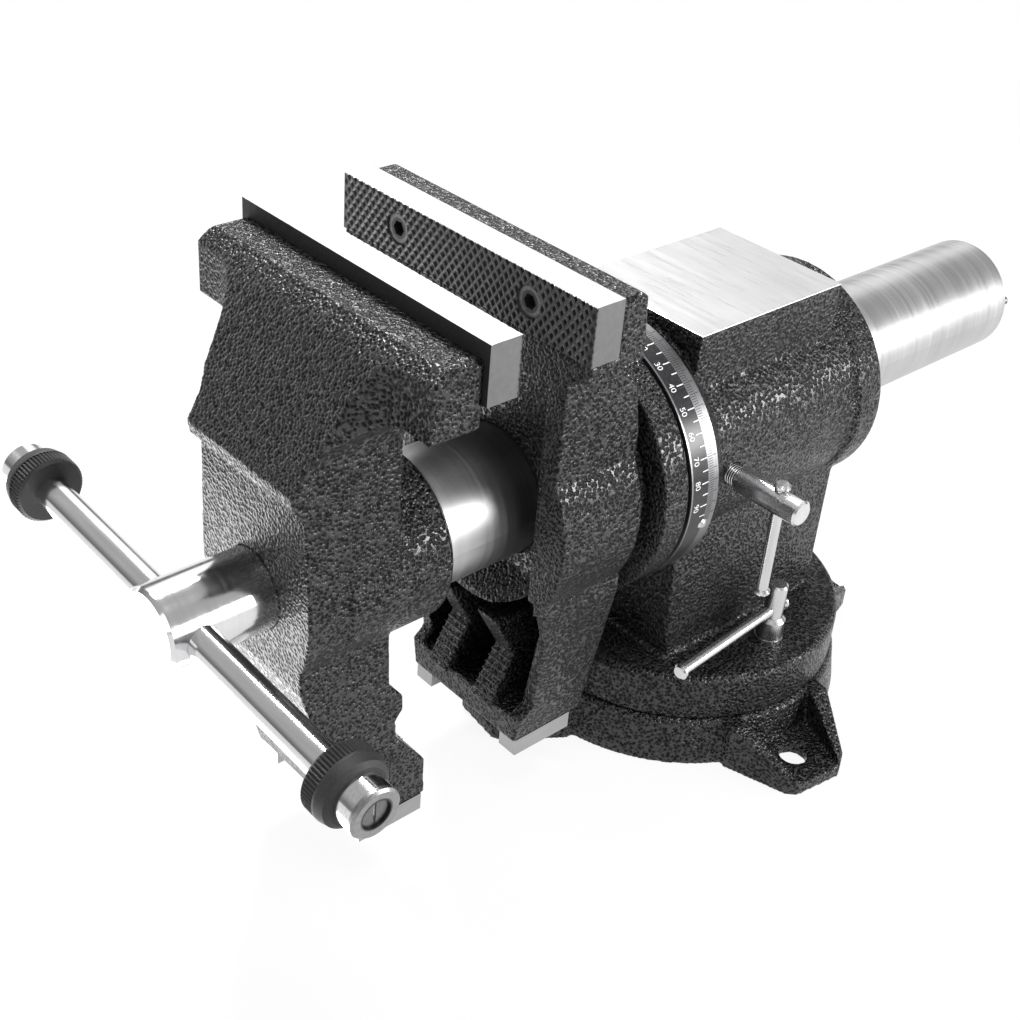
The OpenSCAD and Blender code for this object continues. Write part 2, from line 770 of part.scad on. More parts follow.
module retaining_screws() {
    color([0.6, 0.6, 0.62]) at_ring_screws() difference() {
        union() {
            translate([0, 0, ring_screw_r - ring_screw_head_r])
                cylinder(r1 = ring_screw_r - seat * 2, r2 = ring_screw_head_r - seat * 2,
                    h = ring_screw_head_r - ring_screw_r, $fn = small_fn);
            translate([0, 0, -retain_t - ring_screw_l + over])
                cylinder(r = ring_screw_r, h = ring_screw_l + retain_t - over, $fn = small_fn);
        }
        translate([0, 0, -over]) cylinder(r = ring_screw_r * 0.7, h = over * 2, $fn = 6);
    }
}

// Spindle nut, held in the head by its neck through the tube's slot
module spindle_nut() {
    color([0.75, 0.6, 0.3]) difference() {
        union() {
            spindle_rod(tube_r - tube_wall - gap, nut_y0, nut_y1);
            axis_slab(nut_neck_half, nut_y0 + nut_end_wall, nut_y1 - nut_end_wall, -nut_neck_low, 0);
        }
        spindle_rod(thread_r + run, nut_y0 - over, nut_y1 + over);
        translate([0, nut_bolt_y, axis_h - nut_neck_low - over])
            cylinder(r = nut_bolt_r + seat, h = nut_bolt_l, $fn = small_fn);
    }
}

module nut_bolt() {
    color([0.12, 0.12, 0.13]) translate([0, nut_bolt_y, axis_h - boss_r - seat]) rotate([180, 0, 0])
        socket_screw(socket_r, socket_h, nut_bolt_r, nut_bolt_l, hex_r);
}

module fixed_plate() {
    color([0.86, 0.86, 0.87]) translate([0, fix_face, 0]) mirror([0, 1, 0]) jaw_plate_blank();
}

module movable_plate() {
    color([0.86, 0.86, 0.87]) translate([0, mov_face, 0]) jaw_plate_blank();
}

// Ground pads under the lower jaws
pad_in = 25;
pad_l = 34;
pad_back = 2;
fix_pad_y = fix_face + bar_front + pad_back;
mov_pad_y = mov_seat - mov_toe_in;
pad_screw_r = 2.5;
pad_screw_head_r = 4.6;
pad_screw_l = 12;

module at_pad_screws(y) {
    for (side = [-1, 1], share = pad_screw_shares)
        translate([side * (pad_in + cheek_low_half) / 2, y + pad_l * share, axis_h - low_depth])
            children();
}
pad_screw_shares = [0.25, 0.75];

module pad_screw_holes(y) {
    at_pad_screws(y) translate([0, 0, -over])
        cylinder(r = pad_screw_r + seat, h = pad_screw_l, $fn = small_fn);
}

module lower_pads(y) {
    color([0.8, 0.8, 0.81]) difference() {
        for (side = [-1, 1])
            translate([side * (pad_in + cheek_low_half) / 2, y, axis_h - low_depth - pad_t - seat])
            translate([-(cheek_low_half - pad_in) / 2, 0, 0])
                cube([cheek_low_half - pad_in, pad_l, pad_t]);
        at_pad_screws(y) translate([0, 0, -pad_t * 2])
            cylinder(r = pad_screw_r + seat, h = pad_t * 3, $fn = small_fn);
        at_pad_screws(y) translate([0, 0, -pad_t - over - seat])
            cylinder(r1 = pad_screw_head_r + over, r2 = pad_screw_r,
                h = pad_screw_head_r - pad_screw_r + over, $fn = small_fn);
    }
}

module pad_screws(y) {
    color([0.6, 0.6, 0.62]) at_pad_screws(y) translate([0, 0, -pad_t]) {
        cylinder(r1 = pad_screw_head_r - seat * 2, r2 = pad_screw_r - seat * 2,
            h = pad_screw_head_r - pad_screw_r, $fn = small_fn);
        cylinder(r = pad_screw_r, h = pad_t + pad_screw_l - over * 2, $fn = small_fn);
    }
}

// Movable jaw casting
wall_back = 20;
wall_front = 9;
mov_lip_top = low_depth * 0.5;
mov_lip_low = low_depth * 0.559;
mov_vee_deep = low_depth * 0.636;
mov_vee_half = 4;
mov_low_lip = low_depth * 0.839;
mov_lip_out = 4;
slope_z = 35;
brow_curve = 11;
mov_band = 15.5;
toe_rear = 15.5;

module movable_outline() {
    front_outline([[0, mov_top], [block_half - chamfer, mov_top], [block_half, mov_top - chamfer],
        [block_half, mov_block_low], [flare_half, mov_block_low],
        for (share = flare_shares)
            [box_half + (flare_half - box_half) * share[0], mov_block_low - flare_h * share[1]],
        [box_half, brow_z - brow_curve],
        for (turn = belly_turns) [belly_half * cos(turn), -belly_deep * sin(turn)],
        [cheek_low_half, -low_depth], [0, -low_depth]], mov_seat - brow_out - over, hub_rear);
}
belly_half = box_half + 2;
belly_deep = 44;
belly_turns = [0, 12, 23, 33];
flare_half = 57;
flare_h = 20;
flare_shares = [[0.62, 0.12], [0.32, 0.38], [0.1, 0.7], [0, 1]];

// Plan of the movable jaw: the brow is narrower than the end blocks and blends into them
module movable_plan() {
    side = [[block_half, hub_rear], [block_half, mov_seat - mov_top_t],
        [flare_half, mov_seat - mov_top_t],
        for (share = plan_shares) [box_half + (flare_half - box_half) * share[0],
            mov_seat - mov_top_t - (brow_out - mov_top_t) * share[1]]];
    mirrored = [for (i = [len(side) - 1 : -1 : 0]) [-side[i][0], side[i][1]]];
    translate([0, 0, axis_h - low_depth - over]) linear_extrude(low_depth + mov_top + over * 2)
        polygon(concat(side, mirrored));
}
plan_shares = [[0.68, 0.05], [0.45, 0.15], [0.3, 0.3], [0.22, 0.48], [0.12, 0.75], [0.06, 1.05]];

module movable_profile() {
    side_profile([[mov_seat, mov_top], [mov_seat - mov_band, mov_top],
        [mov_seat - mov_band - brow_curve / 2, mov_top - brow_curve / 3],
        [mov_seat - mov_top_t - brow_curve / 4, mov_top - brow_curve * 0.7],
        [mov_seat - brow_out, brow_z], [mov_seat - brow_out + over, brow_z - brow_curve / 2],
            [mov_front, brow_z - brow_curve],
        [mov_front, -slope_z], [mov_seat - mov_toe_in - over * 2, -low_depth],
            [mov_seat + toe_rear, -low_depth],
        [mov_seat + toe_rear, -mov_low_lip], [mov_seat, -mov_vee_deep - mov_vee_half],
        [mov_seat, -mov_vee_deep + mov_vee_half], [mov_seat + mov_lip_out, -mov_lip_low],
            [mov_seat + mov_lip_out, -mov_lip_top],
        [box_rear, -mov_lip_top + mov_vee_half * 2], [box_rear, mov_block_low - over * 2],
            [mov_seat, mov_block_low]], jaw_w);
}

module movable_jaw() {
    color([0.15, 0.15, 0.16])
    difference() {
        union() {
            intersection() {
                movable_outline();
                movable_profile();
                movable_plan();
            }
            spindle_rod(hub_r, mov_front + wall_back, hub_rear - chamfer * 2);
            spindle_cone(hub_r, hub_r - chamfer * 2, hub_rear - chamfer * 2, hub_rear);
        }
        spindle_rod(tube_r + seat, mov_front + wall_back + wall_front, hub_rear + over);
        spindle_rod(thread_r + run, mov_front - over, hub_rear);
        spindle_rod(head_r + run, mov_front - over, mov_front + wall_back);
        teeth([mov_seat, -mov_vee_deep - mov_vee_half], [mov_seat + toe_rear, -mov_low_lip], -prong_out,
            prong_out, tooth_count, tooth_depth);
        plate_screw_holes(mov_seat, 1);
        pad_screw_holes(mov_pad_y);
        translate([0, tube_pin_y, axis_h - hub_r - over])
            cylinder(r = tube_pin_r + seat, h = hub_r, $fn = small_fn);
    }
}
tube_pin_back = 11;
tube_pin_y = mov_seat + tube_pin_back;
tube_pin_r = 4;

// Slide tube, its pin, end cap and grease nipple
tube_front = mov_front + wall_back + wall_front + gap;
cap_in = 12;
cap_flange = 1;
slot_y0 = nut_y0 + nut_end_wall - travel_shut - over;
slot_y1 = nut_y1 - nut_end_wall + travel_open + over;

module slide_tube() {
    color([0.82, 0.82, 0.83]) difference() {
        spindle_rod(tube_r, tube_front, tube_rear);
        spindle_rod(tube_r - tube_wall, tube_front - over, tube_rear + over);
        axis_slab(tube_slot_w / 2, slot_y0, slot_y1, -tube_r - over, 0);
        translate([0, tube_pin_y, axis_h - tube_r - over])
            cylinder(r = tube_pin_r + seat, h = tube_wall + over * 2, $fn = small_fn);
    }
}

module tube_pin() {
    color([0.3, 0.3, 0.31]) translate([0, tube_pin_y, axis_h - hub_r + over]) difference() {
        cylinder(r = tube_pin_r, h = hub_r - tube_r + tube_wall - over * 2, $fn = small_fn);
        translate([0, 0, -over]) cylinder(r = tube_pin_r / 2, h = tube_pin_r, $fn = 6);
    }
}

nipple_r = 2.6;
nipple_x = tube_r - tube_wall - nipple_r * 1.4;
nipple_l = 17;
module tube_end_cap() {
    color([0.8, 0.8, 0.81]) difference() {
        union() {
            spindle_rod(tube_r - tube_wall - seat, tube_rear - cap_in, tube_rear + over);
            spindle_rod(tube_r - over, tube_rear + seat, tube_rear + cap_flange + seat);
        }
        spindle_rod(tube_r - tube_wall * 2.4, tube_rear - cap_in - over, tube_rear - cap_in / 2);
        translate([nipple_x, 0, axis_h]) rotate([-90, 0, 0])
            cylinder(r = nipple_r + seat, h = tube_rear * 2, $fn = small_fn);
    }
}

module grease_nipple() {
    color([0.85, 0.8, 0.7]) translate([nipple_x, tube_rear - cap_in / 2, axis_h]) rotate([-90, 0, 0])
        rotate_extrude($fn = small_fn)
            polygon([[0, 0], [nipple_r, 0], [nipple_r, cap_in / 2 + cap_flange + seat * 2],
            [nipple_r + over, cap_in / 2 + cap_flange + seat * 2],
                [nipple_r + over, cap_in / 2 + cap_flange + over * 2],
            [nipple_r / 2, cap_in / 2 + cap_flange + over * 3],
                [nipple_r, cap_in / 2 + nipple_l - over * 2],
            [nipple_r / 2, cap_in / 2 + nipple_l], [0, cap_in / 2 + nipple_l]]);
}

// Spindle: head with its cross hole, plain neck and ring grooves that stand in for the thread
neck_back = 20;
neck_end = mov_seat + neck_back;
head_inner = mov_front + wall_back - gap - thrust_t;
thread_y0 = neck_end;
groove_count = floor((tip_y - thread_y0 - pitch) / pitch);

module spindle_grooves() {
    for (i = [0 : groove_count - 1])
        translate([0, thread_y0 + pitch * (i + 1), axis_h]) rotate([90, 0, 0]) rotate_extrude()
            polygon([[thread_r - thread_depth, -pitch / 8], [thread_r + over, -pitch / 4 - pitch / 8],
                [thread_r + over, pitch / 4 + pitch / 8], [thread_r - thread_depth, pitch / 8]]);
}

module spindle() {
    color([0.78, 0.78, 0.8]) difference() {
        union() {
            spindle_cone(head_r - chamfer, head_r, head_end, head_end + chamfer);
            spindle_rod(head_r, head_end + chamfer, head_inner);
            spindle_rod(thread_r, head_inner - over, tip_y - chamfer);
            spindle_cone(thread_r, thread_r - chamfer, tip_y - chamfer, tip_y);
        }
        translate([0, cross_y, axis_h]) rotate([0, 90 + bar_tilt, 0])
            cylinder(r = bar_r + run, h = head_r * 4, center = true);
        spindle_grooves();
        translate([0, collar_y0 + collar_l / 2, axis_h])
            cylinder(r = collar_pin_r + seat, h = head_r * 4, center = true, $fn = small_fn);
    }
}

module thrust_washer() {
    color([0.72, 0.55, 0.25]) difference() {
        spindle_rod(head_r - seat, head_inner + seat, head_inner + seat + thrust_t);
        spindle_rod(thread_r + seat * 2, head_inner - over, head_inner + thrust_t * 2);
    }
}

collar_y0 = mov_front + wall_back + wall_front + gap;
collar_l = 12;
collar_r = 21;
collar_pin_r = 2.5;
module spindle_collar() {
    color([0.6, 0.6, 0.62]) difference() {
        spindle_rod(collar_r, collar_y0, collar_y0 + collar_l);
        spindle_rod(thread_r + seat, collar_y0 - over, collar_y0 + collar_l + over);
        translate([0, collar_y0 + collar_l / 2, axis_h])
            cylinder(r = collar_pin_r + seat, h = collar_r * 4, center = true, $fn = small_fn);
    }
}

module collar_pin() {
    color([0.5, 0.5, 0.5]) translate([0, collar_y0 + collar_l / 2, axis_h])
        cylinder(r = collar_pin_r, h = (collar_r - over) * 2, center = true, $fn = small_fn);
}

// Handle bar with its knurled rings and end caps, drawn along X and tilted
spigot_r = 5;
module on_handle() {
    translate([0, cross_y, axis_h]) rotate([0, bar_tilt, 0]) children();
}

module x_rod(r, x0, x1, fn = $fn) {
    translate([x0, 0, 0]) rotate([0, 90, 0]) cylinder(r = r, h = x1 - x0, $fn = fn);
}

module handle_bar() {
    reach = ring_out - ring_t / 2;
    color([0.84, 0.84, 0.85]) on_handle() {
        x_rod(bar_r, -reach, reach);
        x_rod(spigot_r, -reach - ring_t - cap_l / 2, reach + ring_t + cap_l / 2, small_fn);
    }
}

knurl_count = 60;
knurl_depth = 0.5;
band_share = 0.62;
module knurled_ring(side) {
    knurl_l = ring_t * band_share;
    color([0.06, 0.06, 0.07]) on_handle() mirror([side < 0 ? 1 : 0, 0, 0])
        translate([ring_out - ring_t / 2 + seat, 0, 0]) difference() {
            rotate([0, 90, 0]) rotate_extrude()
                polygon([[spigot_r + seat, 0], [ring_r - chamfer, 0], [ring_r, chamfer],
                [ring_r, knurl_l], [ring_r - over, ring_t - chamfer],
                    [ring_r - chamfer * 2, ring_t - seat * 2],
                [spigot_r + seat, ring_t - seat * 2]]);
            for (i = [0 : knurl_count - 1]) rotate([i * 360 / knurl_count, 0, 0])
                translate([-over, 0, ring_r])
                rotate([45, 0, 0]) translate([0, -knurl_depth, -knurl_depth])
                    cube([knurl_l, knurl_depth * 2, knurl_depth * 2]);
        }
}

cap_dish_r = 6;
cap_dish = 1.2;
cap_slot = 1.2;
module handle_cap(side) {
    color([0.84, 0.84, 0.85]) on_handle() mirror([side < 0 ? 1 : 0, 0, 0])
        translate([ring_out + ring_t / 2 + seat, 0, 0]) difference() {
            rotate([0, 90, 0]) rotate_extrude()
                polygon([[0, 0], [cap_r, 0], [cap_r, cap_l - over], [cap_r - over, cap_l],
                [0, cap_l]]);
            x_rod(spigot_r + seat, -over, cap_l / 2 + seat * 4, small_fn);
            x_rod(cap_dish_r, cap_l - cap_dish, cap_l + over, small_fn);
            translate([cap_l - cap_dish * 2, -cap_slot / 2, -cap_dish_r + over])
                cube([cap_l, cap_slot, (cap_dish_r - over) * 2]);
        }
}

base();
swivel_body();
pivot_bolt();
pivot_washer();
t_bolt();  // right_t_bolt
rotate(180) t_bolt();  // left_t_bolt
lock_washer();  // right_lock_washer
rotate(180) lock_washer();  // left_lock_washer
lock_nut();  // right_lock_nut
rotate(180) lock_nut();  // left_lock_nut
lock_bar();  // right_lock_bar
rotate(180) lock_bar();  // left_lock_bar
scale_ring();
scale_rivets();
head_lock_shoe();
head_lock_screw();
head_lock_bar();
fixed_jaw();
retaining_ring();
retaining_screws();
spindle_nut();
nut_bolt();
fixed_plate();
plate_screw_pair(fix_face, -1);  // fixed_plate_screws
lower_pads(fix_pad_y);  // fixed_lower_pads
pad_screws(fix_pad_y);  // fixed_pad_screws
movable_jaw();
movable_plate();
plate_screw_pair(mov_face, 1);  // movable_plate_screws
lower_pads(mov_pad_y);  // movable_lower_pads
pad_screws(mov_pad_y);  // movable_pad_screws
slide_tube();
tube_pin();
tube_end_cap();
grease_nipple();
spindle();
thrust_washer();
spindle_collar();
collar_pin();
handle_bar();
knurled_ring(1);  // right_knurled_ring
knurled_ring(-1);  // left_knurled_ring
handle_cap(1);  // right_handle_cap
handle_cap(-1);  // left_handle_cap
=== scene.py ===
# Multipurpose vise: finishes, softened castings, knurled jaw faces, scale markings, light and camera.
import json
import math

import bmesh
import bpy
from mathutils import Matrix, Vector


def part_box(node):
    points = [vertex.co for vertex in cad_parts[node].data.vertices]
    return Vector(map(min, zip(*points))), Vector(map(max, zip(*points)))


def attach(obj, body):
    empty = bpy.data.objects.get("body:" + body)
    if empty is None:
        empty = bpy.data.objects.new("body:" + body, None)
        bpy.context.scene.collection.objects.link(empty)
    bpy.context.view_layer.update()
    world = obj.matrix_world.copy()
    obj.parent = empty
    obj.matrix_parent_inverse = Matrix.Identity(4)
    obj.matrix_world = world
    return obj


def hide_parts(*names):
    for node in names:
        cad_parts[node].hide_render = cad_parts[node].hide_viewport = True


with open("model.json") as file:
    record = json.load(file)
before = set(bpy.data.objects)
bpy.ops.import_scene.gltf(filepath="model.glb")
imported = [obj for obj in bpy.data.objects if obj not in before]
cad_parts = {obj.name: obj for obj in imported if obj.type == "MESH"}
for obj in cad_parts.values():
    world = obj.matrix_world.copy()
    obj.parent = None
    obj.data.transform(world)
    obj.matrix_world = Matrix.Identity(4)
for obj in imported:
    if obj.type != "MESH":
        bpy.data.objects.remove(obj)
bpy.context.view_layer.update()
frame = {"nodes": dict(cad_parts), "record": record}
nodes = frame["nodes"]
bodyOf = {n: b for b, members in frame["record"]["behaviour"]["bodies"].items() for n in members}
mm = 0.001
axisZ = 156 * mm  # height of the head's axis over the bench
middle = (0.3, 0.7)  # the span of a noise that most ramps pick out


def corners(name):
    low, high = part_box(name)
    return Vector(low), Vector(high)


def shade(tone, factor):
    return tuple(c * factor for c in tone)


# Shader sums: a wrapped socket with plain operators, and one method for every other node
class Field:
    def __init__(self, graph, socket):
        self.graph = graph
        self.socket = socket

    def maths(self, operation, first, second=None):
        made = self.graph.node("ShaderNodeMath", {"operation": operation}, {0: first})
        if second is not None:
            self.graph.feed(made.inputs[1], second)
        return Field(self.graph, made.outputs[0])

    def __add__(self, other):
        return self.maths("ADD", self, other)

    def __sub__(self, other):
        return self.maths("SUBTRACT", self, other)

    def __rsub__(self, other):
        return self.maths("SUBTRACT", other, self)

    def __mul__(self, other):
        return self.maths("MULTIPLY", self, other)

    def __truediv__(self, other):
        return self.maths("DIVIDE", self, other)

    def __gt__(self, other):
        return self.maths("GREATER_THAN", self, other)

    def __lt__(self, other):
        return self.maths("LESS_THAN", self, other)

    def __abs__(self):
        return self.maths("ABSOLUTE", self)

    __radd__ = __add__
    __rmul__ = __mul__

    def wave(self):
        return self.maths("SINE", self)

    def root(self):
        return self.maths("SQRT", self)

    def least(self, other):
        return self.maths("MINIMUM", self, other)

    def most(self, other):
        return self.maths("MAXIMUM", self, other)

    def ramp(self, low, high, outLow=0.0, outHigh=1.0):
        made = self.graph.node("ShaderNodeMapRange", {"clamp": True}, {
            "Value": self, "From Min": low, "From Max": high, "To Min": outLow, "To Max": outHigh})
        return Field(self.graph, made.outputs["Result"])

    def parts(self):
        made = self.graph.node("ShaderNodeSeparateXYZ", None, {"Vector": self})
        return [Field(self.graph, s) for s in made.outputs]

    def stretch(self, factors):
        made = self.graph.node("ShaderNodeVectorMath", {"operation": "MULTIPLY"}, {0: self, 1: factors})
        return Field(self.graph, made.outputs[0])


class Graph:
    def __init__(self, owner):
        self.owner = owner
        owner.use_nodes = True
        self.tree = owner.node_tree
        self.tree.nodes.clear()

    def node(self, kind, settings=None, inputs=None):
        made = self.tree.nodes.new(kind)
        for key, value in (settings or {}).items():
            setattr(made, key, value)
        for key, value in (inputs or {}).items():
            self.feed(made.inputs[key], value)
        return made

    def feed(self, socket, value):
        if isinstance(value, Field):
            self.tree.links.new(value.socket, socket)
        elif isinstance(value, (tuple, list)) and len(value) == 3 and socket.type == "RGBA":
            socket.default_value = (*value, 1)
        else:
            socket.default_value = value

    def place(self, kind="Object"):
        return Field(self, self.node("ShaderNodeTexCoord").outputs[kind])

    def blend(self, share, a, b):
        made = self.node("ShaderNodeMix", {"data_type": "RGBA"}, {0: share, 6: a, 7: b})
        return Field(self, made.outputs[2])

    def noise(self, at, scale=1.0, detail=3.0, rough=0.6, warp=0.0):
        made = self.node("ShaderNodeTexNoise", None, {
            "Vector": at, "Scale": scale, "Detail": detail, "Roughness": rough, "Distortion": warp})
        return Field(self, made.outputs["Fac"])

    def cells(self, at, scale, smooth):
        made = self.node("ShaderNodeTexVoronoi", {"feature": "SMOOTH_F1"}, {
            "Vector": at, "Scale": scale, "Smoothness": smooth, "Randomness": 1.0})
        return Field(self, made.outputs["Distance"])

    def bump(self, height, strength, distance):
        made = self.node("ShaderNodeBump", None, {"Height": height, "Strength": strength, "Distance": distance})
        return Field(self, made.outputs["Normal"])

    def backdropRays(self):
        path = self.node("ShaderNodeLightPath")
        rays = [Field(self, path.outputs["Is %s Ray" % kind]) for kind in ("Camera", "Glossy", "Transmission")]
        return rays[0].most(rays[1]).most(rays[2])

    def out(self, shader, kind="ShaderNodeOutputMaterial"):
        self.tree.links.new(shader.outputs[0], self.node(kind).inputs["Surface"])

    def finish(self, **values):
        named = {key.replace("_", " "): value for key, value in values.items()}
        self.out(self.node("ShaderNodeBsdfPrincipled", None, named))
        return self.owner


def newGraph(name):
    return Graph(bpy.data.materials.new(name))


# Hammered enamel on the castings: near black pools between raised glossy flecks, whose lighter colour is a painted
# glint
paint = {"pool": (0.003, 0.003, 0.0035), "net": (0.03, 0.03, 0.031), "cell": 620, "smooth": 0.25,
         "rippleCell": 558, "rippleWarp": 0.4, "rippleShare": 0.9, "level": 0.45, "edge": (0.24, 0.74),
         "patch": 70, "patchDark": 0.65, "netRough": 0.24, "poolRough": 0.42, "poolMetal": 0.8, "depth": 0.45 * mm}


def hammered(name):
    g = newGraph(name)
    at = g.place()
    ripple = g.noise(at, paint["rippleCell"], 2, 0.5, paint["rippleWarp"])
    blobs = g.cells(at, paint["cell"], paint["smooth"])
    net = (blobs + ripple * paint["rippleShare"] - paint["level"]).ramp(*paint["edge"])
    wander = g.noise(at, paint["patch"]).ramp(*middle, paint["patchDark"], 1.0)
    # the raised flecks are coloured lighter than the pools: a painted glint
    colour = g.blend(net * wander, paint["pool"], paint["net"])
    rough = net * (paint["netRough"] - paint["poolRough"]) + paint["poolRough"]
    return g.finish(Base_Color=colour, Roughness=rough, Metallic=paint["poolMetal"] - net * paint["poolMetal"],
                    Specular_IOR_Level=0.5, Normal=g.bump(net, 1.0, paint["depth"]))


# Steel with fine lines, ground flat or turned round an axis, and bronze
metals = {
    "groundFlat": {"spread": (40, 500, 500), "tone": (0.54, 0.54, 0.545), "dull": (0.44, 0.44, 0.445),
                   "rough": 0.3, "relief": 0.05, "specks": 0.08},
    "turnedY": {"spread": (9, 480, 9), "tone": (0.58, 0.58, 0.585), "dull": (0.43, 0.43, 0.435),
                "rough": 0.37, "relief": 0.03, "specks": 0.2},
    "polishedY": {"spread": (9, 300, 9), "tone": (0.78, 0.78, 0.785), "dull": (0.68, 0.68, 0.69),
                  "rough": 0.13, "relief": 0.02, "specks": 0.06},
    "drawnX": {"spread": (9, 500, 500), "tone": (0.76, 0.76, 0.765), "dull": (0.64, 0.64, 0.65),
               "rough": 0.16, "relief": 0.02, "specks": 0.1},
    "padFlat": {"spread": (300, 40, 300), "tone": (0.42, 0.42, 0.425), "dull": (0.34, 0.34, 0.345),
                "rough": 0.32, "relief": 0.05, "specks": 0.15},
    "plated": {"spread": (300, 300, 30), "tone": (0.74, 0.74, 0.75), "dull": (0.56, 0.56, 0.57),
               "rough": 0.24, "relief": 0.05, "specks": 0.2},
    "fitting": {"spread": (300, 60, 300), "tone": (0.2, 0.2, 0.205), "dull": (0.12, 0.12, 0.125),
                "rough": 0.3, "relief": 0.05, "specks": 0.2},
    "bronze": {"spread": (35, 2000, 35), "tone": (0.55, 0.4, 0.22), "dull": (0.4, 0.28, 0.14),
               "rough": 0.3, "relief": 0.12, "specks": 0.25},
}
lines = {"broad": 22, "broadEdge": (0.35, 0.7), "speck": 240, "speckEdge": (0.66, 0.85), "speckTone": 0.4,
         "edge": (0.25, 0.75), "smoother": 0.05, "rougher": 0.07, "depth": 0.1 * mm}


def lined(name, spread, tone, dull, rough, relief, specks):
    g = newGraph(name)
    at = g.place()
    streaks = g.noise(at.stretch(spread))
    broad = g.noise(at, lines["broad"])
    marks = g.noise(at, lines["speck"], 4, 0.7)
    share = streaks.ramp(*middle) * 0.5 + broad.ramp(*lines["broadEdge"]) * 0.5
    lighter = marks.ramp(*lines["speckEdge"]) * specks
    colour = g.blend(lighter, g.blend(share, dull, tone), shade(tone, lines["speckTone"]))
    sheen = streaks.ramp(*lines["edge"], rough - lines["smoother"], rough + lines["rougher"])
    return g.finish(Base_Color=colour, Roughness=sheen, Metallic=1.0, Normal=g.bump(streaks, relief, lines["depth"]))


# Jaw plates: bright ground tops, dull sawn ends, near-black backs, and a dark knurl in the gripping face with painted
# shade in its pits
plate = {"top": (0.64, 0.64, 0.645), "dull": (0.58, 0.58, 0.585), "end": (0.2, 0.2, 0.204), "endDull": 0.85,
         "ridge": (0.14, 0.14, 0.144), "pit": (0.02, 0.02, 0.021), "backBlack": (0.006, 0.006, 0.007),
         "spread": (50, 1500, 1500), "lineShare": 0.45, "broad": 26, "grain": 420, "blotches": 160, "wearLeast": 0.6,
         "rough": 0.16, "cutRough": 0.24, "backRough": 0.2, "lineRough": 0.08, "relief": 0.1, "depth": 0.3 * mm,
         "skin": 0.1 * mm}
knurl = {"wide": 4.1 * mm, "tall": 5.5 * mm, "deep": 0.5 * mm, "step": 0.42 * mm, "rim": 0.35 * mm,
         "bore": 6.62 * mm, "pit": (0.42, 0.78), "flank": 0.6, "cut": 0.9, "flat": 0.02 * mm}


def plateSteel(name, faceY, toFace):
    g = newGraph(name)
    at = g.place()
    x, y, z = at.parts()
    low, high = corners("fixed_plate")
    streaks = g.noise(at.stretch(plate["spread"]))
    broad = g.noise(at, plate["broad"])
    share = streaks.ramp(*middle) * plate["lineShare"] + broad.ramp(*middle) * (1 - plate["lineShare"])
    plain = g.blend(share, plate["dull"], plate["top"])
    grain = g.noise(at, plate["grain"])
    sawn = g.blend(grain.ramp(*middle), shade(plate["end"], plate["endDull"]), plate["end"])
    isEnd = abs(x) > high.x - plate["skin"]
    one = abs(((x / knurl["wide"] + z / knurl["tall"]) * math.pi).wave())
    two = abs(((x / knurl["wide"] - z / knurl["tall"]) * math.pi).wave())
    blotches = g.noise(at, plate["blotches"]).ramp(*middle, plate["wearLeast"], 1.0)
    # the knurl's pits are coloured darker than its ridges: painted shade in the hollows of the relief
    cut = g.blend(one.least(two).ramp(*knurl["pit"]), plate["ridge"], plate["pit"])
    cut = g.blend(blotches, plate["pit"], cut)
    onFace = abs(y - faceY) < knurl["deep"] + plate["skin"]
    isFace = onFace * (z < high.z - knurl["rim"])
    isBack = (y - (faceY - toFace * (high.y - low.y - plate["skin"]))) * toFace < 0
    colour = g.blend(isEnd, plain, sawn)
    colour = g.blend(isFace, colour, cut)
    # the back face is coloured near black and is not metallic
    colour = g.blend(isBack, colour, plate["backBlack"])
    cutOrSawn = isFace.most(isEnd).most(isBack)
    rough = (cutOrSawn * plate["cutRough"] + streaks * plate["lineRough"] + isBack * plate["backRough"]
             + plate["rough"])
    relief = streaks * (1 - isFace) * plate["relief"] + grain * isBack
    return g.finish(Base_Color=colour, Roughness=rough, Metallic=1 - isBack, Normal=g.bump(relief, 1.0, plate["depth"]))


# Black parts: blackened screws, the teeth of the pipe jaws, lighter for a painted sheen on their ridges, matte knurled
# rings
blacks = {
    "blackened": {"tone": 0.03, "rough": 0.42, "grain": 900, "relief": 0.2},
    # the teeth are given a lighter tone than the enamel: a painted sheen on their ridges
    "toothed": {"tone": 0.11, "rough": 0.3, "grain": 500, "relief": 0.3},
    "knurledBlack": {"tone": 0.018, "rough": 0.6, "grain": 1400, "relief": 0.35},
}
black = {"low": 0.4, "high": 2.2, "edge": (0.3, 0.75), "broad": 60, "broadEdge": (0.2, 0.8, 0.5, 1.0),
         "smoother": 0.08, "rougher": 0.1, "depth": 0.3 * mm}


def blackened(name, tone, rough, grain, relief):
    g = newGraph(name)
    at = g.place()
    fine = g.noise(at, grain)
    broad = g.noise(at, black["broad"], 2, 0.5)
    share = fine.ramp(*black["edge"]) * broad.ramp(*black["broadEdge"])
    colour = g.blend(share, (tone * black["low"],) * 3, (tone * black["high"],) * 3)
    sheen = fine.ramp(*middle, rough - black["smoother"], rough + black["rougher"])
    return g.finish(Base_Color=colour, Roughness=sheen, Normal=g.bump(fine, relief, black["depth"]))


# Socket screws of the plates: black, with a painted highlight in a ring on the rim of the head, broken into blotches
socket = {"side": 39.5 * mm, "rim": (4.3 * mm, 5.9 * mm), "fade": (0.4 * mm, 0.3 * mm), "grain": 800,
          "black": (0.02, 0.02, 0.021), "lighter": (0.2, 0.2, 0.205), "blotches": (0.25, 0.6, 0.5, 1.0),
          "rough": 0.38, "grainRough": 0.1, "metal": 0.6, "relief": 0.15, "depth": 0.2 * mm}


